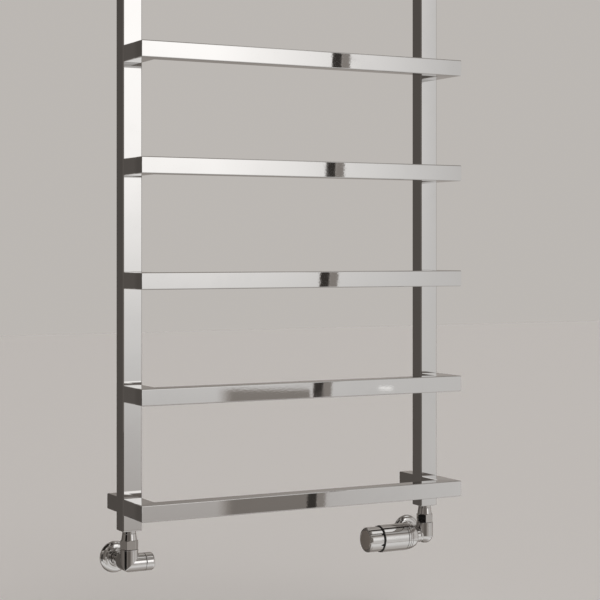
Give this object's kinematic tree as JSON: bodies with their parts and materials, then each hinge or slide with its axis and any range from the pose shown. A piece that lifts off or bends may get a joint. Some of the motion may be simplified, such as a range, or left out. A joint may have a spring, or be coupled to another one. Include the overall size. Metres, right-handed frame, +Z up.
{
  "type": "radiator",
  "caption": "Wall-hung chrome towel radiator: near-square uprights with forward-standing square rungs, corner valves below, one with a thermostatic head.",
  "frame": {"origin": "centre of the four wall screw holes, on the wall face", "axes": "+X along the rungs towards the thermostatic valve, +Y into the wall, +Z up"},
  "size_m": [0.5904, 0.15, 1.198],
  "materials": {
    "polished_chrome": "polished chrome plate on steel tube",
    "valve_chrome": "polished chrome plate on brass, fine turned marks",
    "zinc_steel": "zinc-plated steel",
    "dark_steel": "blackened steel",
    "spring_steel": "plain drawn steel",
    "sensor_metal": "drawn aluminium can",
    "plain_brass": "plain machined brass",
    "seal_rubber": "black sealing rubber",
    "white_plastic": "moulded white plastic",
    "black_plastic": "satin black plastic"
  },
  "bodies": {
    "wall_posts": {"wall_posts": "zinc_steel"},
    "radiator": {"left_upright": "polished_chrome", "right_upright": "polished_chrome", "top_end_caps": "polished_chrome", "bottom_end_caps": "polished_chrome", "rung_1_bar": "polished_chrome", "rung_2_bar": "polished_chrome", "rung_3_bar": "polished_chrome", "rung_4_bar": "polished_chrome", "rung_5_bar": "polished_chrome", "rung_6_bar": "polished_chrome", "rung_7_bar": "polished_chrome", "rung_1_arms": "polished_chrome", "rung_2_arms": "polished_chrome", "rung_3_arms": "polished_chrome", "rung_4_arms": "polished_chrome", "rung_5_arms": "polished_chrome", "rung_6_arms": "polished_chrome", "rung_7_arms": "polished_chrome", "bracket_sleeves": "polished_chrome", "sleeve_grub_screws": "dark_steel", "vent_plug": "polished_chrome", "blank_plug": "polished_chrome", "tailpieces": "valve_chrome", "tail_seals": "seal_rubber", "union_nuts": "valve_chrome", "pipe_nuts": "valve_chrome", "pipe_olives": "plain_brass", "lockshield_body": "valve_chrome", "lockshield_insert": "plain_brass", "lockshield_seal": "seal_rubber", "thermostat_body": "valve_chrome", "thermostat_insert": "plain_brass", "pin_seal": "seal_rubber", "pin_spring": "spring_steel", "head_nut": "valve_chrome", "head_core": "white_plastic", "head_sleeve": "valve_chrome", "head_ring": "black_plastic"},
    "bleed_screw": {"bleed_screw": "plain_brass"},
    "left_rosette": {"left_rosette": "valve_chrome"},
    "right_rosette": {"right_rosette": "valve_chrome"},
    "lockshield_spindle": {"lockshield_spindle": "plain_brass"},
    "lockshield_plug": {"lockshield_plug": "plain_brass"},
    "lockshield_cap": {"lockshield_cap": "valve_chrome"},
    "thermostat_knob": {"knob": "valve_chrome", "knob_marks": "black_plastic"},
    "thermostat_plunger": {"valve_disc": "seal_rubber", "valve_pin": "spring_steel", "push_rod": "spring_steel", "sensor": "sensor_metal"}
  },
  "joints": [
    {"name": "bracket_depth", "type": "slide", "parent": "wall_posts", "child": "radiator", "axis": [0, -1, 0], "range_m": [0, 0.01]},
    {"name": "bleed_turn", "type": "hinge", "parent": "radiator", "child": "bleed_screw", "pos_m": [0.27025, -0.047, 0.5483], "axis": [0, 1, 0], "range_deg": [0, 360]},
    {"name": "left_rosette_slide", "type": "slide", "parent": "radiator", "child": "left_rosette", "axis": [0, -1, 0], "range_m": [0, 0.006]},
    {"name": "right_rosette_slide", "type": "slide", "parent": "radiator", "child": "right_rosette", "axis": [0, -1, 0], "range_m": [0, 0.006]},
    {"name": "lockshield_turn", "type": "hinge", "parent": "radiator", "child": "lockshield_spindle", "pos_m": [-0.27025, -0.06125, -0.6118], "axis": [1, 0, 0], "range_deg": [-180, 180]},
    {"name": "lockshield_lift", "type": "slide", "parent": "radiator", "child": "lockshield_plug", "axis": [1, 0, 0], "range_m": [-0.0008, 0.0008]},
    {"name": "cap_pull", "type": "slide", "parent": "radiator", "child": "lockshield_cap", "axis": [1, 0, 0], "range_m": [0, 0.03]},
    {"name": "knob_turn", "type": "hinge", "parent": "radiator", "child": "thermostat_knob", "pos_m": [0.27025, -0.06125, -0.6118], "axis": [1, 0, 0], "range_deg": [-140, 140]},
    {"name": "plunger_slide", "type": "slide", "parent": "radiator", "child": "thermostat_plunger", "axis": [1, 0, 0], "range_m": [-0.00075, 0.00075]}
  ],
  "couplings": [
    {"joint": "lockshield_lift", "follows": "lockshield_turn", "m_per_rad": 0.000254},
    {"joint": "plunger_slide", "follows": "knob_turn", "m_per_rad": 0.0003}
  ]
}
